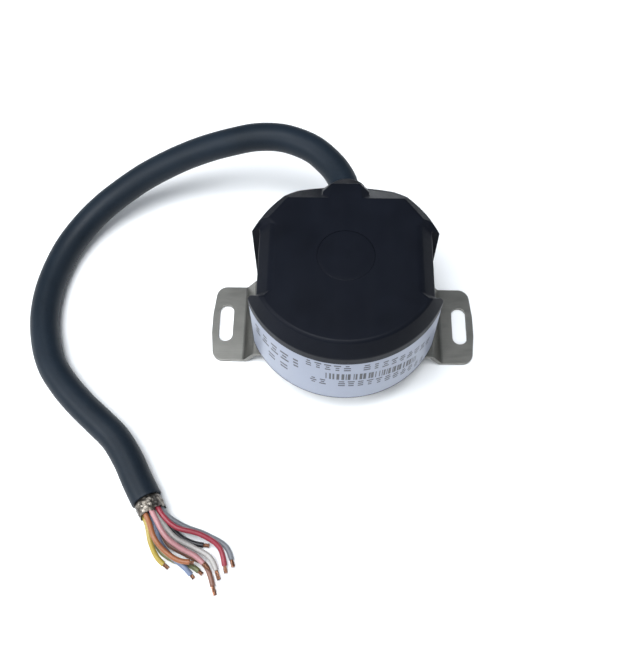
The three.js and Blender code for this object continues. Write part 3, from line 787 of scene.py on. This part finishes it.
def print_mark(bm, across, z, wide, tall):
    """A block of ink on the label: across is its middle's distance round the housing."""
    longest = 0.8  # of the straight steps that follow the round wall
    steps = max(1, round(wide / longest))
    inner, outer = INK_R
    corners = ((inner, -tall / 2), (outer, -tall / 2), (outer, tall / 2), (inner, tall / 2))
    rows = []
    for k in range(steps + 1):
        turn = (across - wide / 2 + wide * k / steps) / BODY_R - math.pi / 2
        way = Vector((math.cos(turn), math.sin(turn), 0))
        rows.append([bm.verts.new(way * r + Vector((0, 0, z + h))) for r, h in corners])
    for first, second in zip(rows, rows[1:]):
        for k in range(4):
            n = (k + 1) % 4
            bm.faces.new((first[k], second[k], second[n], first[n]))
    bm.faces.new(rows[0])
    bm.faces.new(rows[-1][::-1])


def label_print():
    """Generic print: rows of short dashes, two pairs of dashes and a row of upright bars."""
    chance = random.Random(7)
    bm = bmesh.new()
    droop = 0.013
    line_pitch, line_tall = 0.4, 0.21  # shares of a block's height

    def row_z(z, across):
        """The rows sink towards the right."""
        return z - droop * max(0.0, across) ** 2

    def dashes(start, stop, z, wide, tall, pitch, gaps):
        """A row of blocks, each of three short dashes, that leaves out the blocks in gaps."""
        across, k = start, 0
        while across < stop:
            if k not in gaps:
                for shift in (-1, 0, 1):
                    length = wide * chance.choice((0.55, 0.8, 1))
                    height = row_z(z, across) + shift * tall * line_pitch
                    print_mark(bm, across, height, length, tall * line_tall)
            across += pitch
            k += 1

    dashes(-22.0, -9.5, 20.6, 2.1, 3.6, 2.85, ())
    dashes(-7.6, 23, 23.6, 1.45, 2.5, 2.05, (5,))
    dashes(-6.6, 22, 15.8, 1.45, 2.5, 2.05, (2,))
    for across in (-17.4, -13.8):
        for z in (16.4, 14.9):
            print_mark(bm, across, z, 1.9, 0.7)
    across, bars_end, bars_z, bars_tall = -3.8, 18, 19.3, 2.9
    while across < bars_end:
        wide = chance.choice((0.22, 0.22, 0.4, 0.6))
        print_mark(bm, across, row_z(bars_z, across), wide, bars_tall)
        across += wide / 2 + chance.choice((0.4, 0.5, 0.75))
    return piece("label_print", bm, "label_ink", sharp=40, weighted=False)


def housing_plate(inset, z0, z1):
    bm = spin(((BODY_R - inset, z0), (BODY_R - inset, z1)))
    return cut(bm, side_cut(1, inset), side_cut(-1, inset))


def base_gasket():
    ring = cut(housing_plate(0.6, FLANGE_Z + 0.05, COVER_Z - 0.05),
               housing_plate(WALL + 0.05, FLANGE_Z - 1, COVER_Z + 1))
    return piece("base_gasket", soften(ring, 0.22, math.radians(40)), "rubber", ["base_gasket"])


def base():
    """The cast base: a flange, a spigot inside the cover and a boss with the bearings' seats."""
    cone = spin(((20.4, BASE_Z), (21.4, FLANGE_Z)))
    flange = cut(cone, side_cut(1, 0.6), side_cut(-1, 0.6))
    skin = BVHTree.FromBMesh(flange)
    rim = WALL + 0.35
    bm = join(flange, housing_plate(rim, FLANGE_Z - 1, SPIGOT_Z))
    bm = cut(bm, housing_plate(rim + 1.5, FLOOR_Z, SPIGOT_Z + 1))
    bm = join(bm, spin(((BOSS_R, FLOOR_Z - 1), (BOSS_R, BOSS_Z)), MEDIUM_SIDES))
    bore = spin(((SEAT_MOUTH_R, BASE_Z - 1), (SEAT_R, BASE_Z + 0.25), (SEAT_R, LAND_Z[0]),
                 (LAND_R, LAND_Z[0]), (LAND_R, LAND_Z[1]), (SEAT_R, LAND_Z[1]),
                 (SEAT_R, BOSS_Z + 1)), MEDIUM_SIDES)
    bm = cut(bm, bore)
    sink_r, mouth_r, sink_z = 2.25, 2.5, 5.9  # the cover screws' sunk heads
    for at in COVER_SCREWS:
        sink = spin(((sink_r, sink_z), (sink_r, BASE_Z + 0.2), (mouth_r, BASE_Z - 0.05),
                     (mouth_r, BASE_Z - 1)), SMALL_SIDES)
        bm = cut(bm, rod(at, 1.25, BASE_Z - 1, SPIGOT_Z + 1),
                 moved(sink, Matrix.Translation((*at, 0))))
    for at in BRACKET_SCREWS:
        bm = cut(bm, rod(at, 1.3, BASE_Z - 1, FLOOR_Z - 0.4))
    bm = soften_skin(bm, skin, math.radians(25), lambda edge: 0.2)
    return piece("base", bm, "cast_aluminium", ["base"])


# ---------------------------------------------------------------- the bracket, shaft and screws

def ear_outline(side):
    """The bracket's outline on one side, without its slot."""
    corner, crown, crown_y = 2.6, 0.75, 2.5
    points = [(0, -EAR_Y), (EAR_X - crown, -EAR_Y), (EAR_X, -crown_y), (EAR_X, crown_y),
              (EAR_X - crown, EAR_Y), (0, EAR_Y)]
    rounded = fillet(points, corner, loop=False, steps=8)
    return [(side * x, y) for x, y in rounded]


def slot_outline(side):
    half = (SLOT_L - SLOT_W) / 2
    steps = 16
    made = []
    for end in (1, -1):
        for k in range(steps + 1):
            turn = math.pi * k / steps + (0 if end > 0 else math.pi)
            made.append((side * SLOT_X + SLOT_W / 2 * math.cos(turn),
                         end * half + SLOT_W / 2 * math.sin(turn)))
    return made


def bracket():
    """The leaf spring: a flat middle, two walls bent down and two flat ears, from one strip."""
    high, low, lean = 21.0, 23.0, 0.35
    outer_bend, inner_bend = 0.9, 0.55
    half_wide, opening_r, screw_r = 15, 8.3, 1.45
    over = PLATE_Z + 2
    upper = [(high, PLATE_Z + PLATE), (low + lean, PLATE), (EAR_X + 1, PLATE)]
    lower = [(EAR_X + 1, 0), (low - lean, 0), (high - 2 * lean, PLATE_Z)]
    start = fillet([(0, PLATE_Z + PLATE), *upper], outer_bend, loop=False, steps=6)[1:]
    stop = fillet([*lower, (0, PLATE_Z)], inner_bend, loop=False, steps=6)[:-1]
    half = start + stop
    outline = half + [(-x, z) for x, z in reversed(half)]
    strip = moved(prism(outline, -half_wide, half_wide), Matrix.Rotation(math.pi / 2, 4, "X"))
    plan = join(prism(ear_outline(1), -1, over), prism(ear_outline(-1), -1, over))
    bm = common(strip, plan)
    bm = cut(bm, *(prism(slot_outline(side), -1, over) for side in (1, -1)))
    bm = cut(bm, spin(((opening_r, 0), (opening_r, over)), MEDIUM_SIDES))
    bm = cut(bm, *(rod(at, screw_r, 0, over) for at in BRACKET_SCREWS))
    bm = tidy(soften(bm, 0.08, math.radians(35), 2))
    return piece("leaf_spring_bracket", bm, "spring_steel", ["leaf_spring_bracket"])


def screw(name, at, head_r, head_z, shank_r, shank_z):
    """A socket-head screw that points up, with a chamfered head and a threaded shank."""
    low, high = head_z
    profile = fillet([(head_r, low), (head_r, high), (shank_r, high)], 0.16, loop=False)
    profile = [(head_r - 0.25, low), (head_r, low + 0.18)] + profile[1:]
    pitch, thread, z = 0.5, 0.12, high + 0.3
    while z + pitch < shank_z:
        profile += [(shank_r - thread, z), (shank_r, z + pitch / 2)]
        z += pitch
    profile += [(shank_r - 0.3, shank_z)]
    corners = [math.pi * k / 3 for k in range(6)]
    socket = [(0.5 * head_r * math.cos(t), 0.5 * head_r * math.sin(t)) for t in corners]
    bm = cut(spin(profile, SMALL_SIDES), prism(socket, low - 1, low + 0.55 * (high - low)))
    moved(bm, Matrix.Translation((*at, 0)))
    return piece(name, bm, "screw_steel", [name], sharp=28)


def shaft():
    """The hollow shaft: a collar, a groove for its ring, a taper below and a bolt's seat above."""
    low, high, collar, collar_z, radius = 0.7, 21.6, 7.0, 6.05, 5.95
    groove_r, groove_z = radius - 0.4, (17.9, 18.7)
    seat_r, seat_z = 4.7, high - 2.7
    mouth, bolt, taper_z = 4.63, 2.75, 15
    narrow = mouth - (taper_z - low) / 20  # 1 in 10 on diameter
    outline = [(mouth + 0.15, low), (collar - 0.5, low), (collar, low + 0.5),
               (collar, collar_z), (radius, collar_z), (radius, groove_z[0]),
               (groove_r, groove_z[0]), (groove_r, groove_z[1]), (radius, groove_z[1]),
               (radius, high), (seat_r, high), (seat_r, seat_z), (bolt, seat_z),
               (bolt, taper_z), (narrow, taper_z), (mouth, low + 0.15)]
    bm = spin(fillet(outline, 0.08, steps=2), SHAFT_SIDES, ring=True)
    return piece("shaft", bm, "bearing_steel", ["shaft"], body="rotor")


def shaft_seal():
    outer, wall, lip, low, high = 10.5, 9.4, 7.15, 4.7, 5.9
    outline = [(lip, low), (outer, low), (outer, high), (wall, high), (wall, 5.2), (lip, 4.9)]
    bm = spin(fillet(outline, 0.08, steps=2), MEDIUM_SIDES, ring=True)
    return piece("shaft_seal", bm, "rubber", ["shaft_seal"])


# ---------------------------------------------------------------- the cable

def jacket():
    """The jacket, a little uneven along its length, with its hollow cut end."""
    waves, uneven = 0.22, 0.006
    path = smooth_path([Vector(p) / MM for p in ROUTE], 8)
    stations = frames_along(path)
    end, side, up = stations[-1]
    head = (path[-1] - path[-2]).normalized()
    radii = [JACKET_R] * len(stations)
    for back, radius in ((0.12, JACKET_R), (0.03, JACKET_R - 0.05), (0, JACKET_R - 0.14),
                         (0, JACKET_BORE + 0.08), (0.1, JACKET_BORE), (2.4, JACKET_BORE)):
        stations.append((end - head * back, side, up))
        radii.append(radius)
    del stations[len(path) - 1], radii[len(path) - 1]
    radii = [radius * (1 - uneven * (1 + noise.noise(station[0] * waves)))
             for station, radius in zip(stations, radii)]
    made = piece("cable_jacket", loft(stations, SMALL_SIDES, radii), "cable_pvc",
                 ["cable_jacket"], weighted=False, sharp=50)
    return made, path


def boot():
    """The rubber boot: a flange inside the wall, a neck through it and a rounded lip."""
    bore, flange, neck, lip = 3.46, 6, 4.1, 4.4
    outline = [(bore, 18), (flange, 18), (flange, 19.2), (neck, 19.4), (neck, 22.15),
               (lip, 22.3), (lip, 23.7), (neck, 24), (bore, 24)]
    bm = outlet_bar(fillet(outline, 0.25, steps=4), BOOT_X, ring=True)
    roof = block((-10, 10), (17, 20), (25, 30))
    return piece("cable_boot", cut(bm, roof), "rubber", ["cable_boot"])


def beyond(end, head, along, aside, up):
    """A point past the cable's cut end, by its distances along, aside and up."""
    across = Vector((-head.y, head.x, 0))
    return end + head * along + across * aside + Vector((0, 0, up))


def foil_shield(end, head):
    """Crumpled foil that comes out of the jacket, thin, with a ragged rim."""
    chance = random.Random(3)
    shift = Vector([chance.uniform(0, 50) for _ in range(3)])
    side = Vector((-head.y, head.x, 0))
    up = head.cross(side)
    thick, crumpled, torn = 0.12, 0.2, 0.28
    outward = [(-1.6, 2.5), (-0.2, 2.6), (0.3, 2.85)]
    outward += [(0.3 + 0.3 * k, 2.98) for k in range(1, 11)]
    inward = [(a, r - thick) for a, r in reversed(outward)]
    bm = bmesh.new()
    loops = []
    sides = 72
    for along, radius in outward + inward:
        loop = []
        for k in range(sides):
            turn = 2 * math.pi * k / sides
            reach = side * math.cos(turn) + up * math.sin(turn)
            crumple = noise.noise(reach * 2.6 + shift + head * along * 1.4)
            loose = max(0.0, min(1.0, along / 1.2))
            ragged = max(0.0, along - 1.5) * torn * noise.noise(reach * 3.1 - shift)
            at = end + head * (along + ragged) + reach * (radius + loose * crumpled * crumple)
            loop.append(bm.verts.new(at))
        loops.append(loop)
    for low, high in zip(loops, [*loops[1:], loops[0]]):
        for k in range(sides):
            n = (k + 1) % sides
            bm.faces.new((low[k], low[n], high[n], high[k]))
    return piece("foil_shield", closed(bm), "foil", ["foil_shield"], weighted=False, sharp=60)


def conductor(name, end, head, aside, up, via):
    """A stranded conductor: its insulation, and twisted copper where it is stripped."""
    lead = [beyond(end, head, 0.4, aside, up), beyond(end, head, 4.6, aside, up)]
    path = smooth_path([*lead, *via], 14)
    bare = 4 + sum(map(ord, name)) % 3  # stripped stations, a few more on some than on others
    stations = frames_along(path)
    covered = stations[:-bare]
    tip, tip_side, tip_up = covered[-1]
    covered = covered + [(tip + (path[-bare] - tip) * 0.2, tip_side, tip_up)]
    uneven, lay, fray = 0.03, 0.35, 0.03
    radii = [WIRE_R * 0.97 * (1 + uneven * noise.noise(station[0] * 1.1)) for station in covered]
    for i in (0, -1):
        radii[i] *= 0.8
    bm = loft(covered, 20, radii)
    count = len(bm.faces)
    exposed = stations[-bare - 2:]
    for k in range(STRANDS + 1):
        radius = 0.0 if k == STRANDS else STRAND_RING
        strand = []
        for i, (point, side, rise) in enumerate(exposed):
            turn = 2 * math.pi * k / STRANDS + lay * i
            spread = radius * (1 + fray * i)
            strand.append((point + side * spread * math.cos(turn) + rise * spread * math.sin(turn),
                           side, rise))
        part = loft(strand, 8, [STRAND_R] * len(strand))
        mesh = bpy.data.meshes.new("strand")
        part.to_mesh(mesh)
        part.free()
        bm.from_mesh(mesh)
        bpy.data.meshes.remove(mesh)
    bm.faces.ensure_lookup_table()
    for face in bm.faces[count:]:
        face.material_index = 1
    return piece(f"wire_{name}", bm, [f"wire_{name}_pvc", "copper_strand"], [f"wire_{name}"],
                 weighted=False, sharp=50)


def cable():
    """The jacket, its boot, the shield and the conductors."""
    sleeve, path = jacket()
    end, head = path[-1], (path[-1] - path[-2]).normalized()
    others = [boot(), foil_shield(end, head)]
    for name, (aside, up, via) in WIRES.items():
        others.append(conductor(name, end, head, aside, up, via))
    length = sum((b - a).length for a, b in zip(path, path[1:])) * MM
    [p * MM for p in path]


# ---------------------------------------------------------------- the whole

def repaint_inner_nodes():
    """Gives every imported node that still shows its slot's look and softer edges."""
    slots = {entry["node"]: entry["material_slot"] for entry in frame["record"]["subparts"]}
    for name, node in frame["nodes"].items():
        node.data.materials.clear()
        node.data.materials.append(LOOKS[slots[name]])
        for polygon in node.data.polygons:
            polygon.use_smooth = True
        node.data.set_sharp_from_angle(angle=math.radians(30))


def add_floor():
    half_wide, gap = 1.5, 0.0001
    bm = bmesh.new()
    bmesh.ops.create_grid(bm, x_segments=8, y_segments=8, size=half_wide)
    mesh = bpy.data.meshes.new("floor")
    bm.to_mesh(mesh)
    bm.free()
    mesh.materials.append(floor_look())
    floor = bpy.data.objects.new("floor", mesh)
    floor.location = (0, 0, -gap)
    bpy.context.scene.collection.objects.link(floor)


add_camera()
cable()
repaint_inner_nodes()
cover()
access_plug()
label()
label_print()
base_gasket()
base()
bracket()
shaft()
shaft_seal()
for number, place in enumerate(BRACKET_SCREWS, 1):
    screw(f"bracket_screw_{number}", place, 2.3, (1.7, PLATE_Z - 0.05), 1.1, 6.9)
for number, place in enumerate(COVER_SCREWS, 1):
    screw(f"cover_screw_{number}", place, 2.0, (4.7, 5.85), 0.95, 12.6)
add_floor()
add_lights()
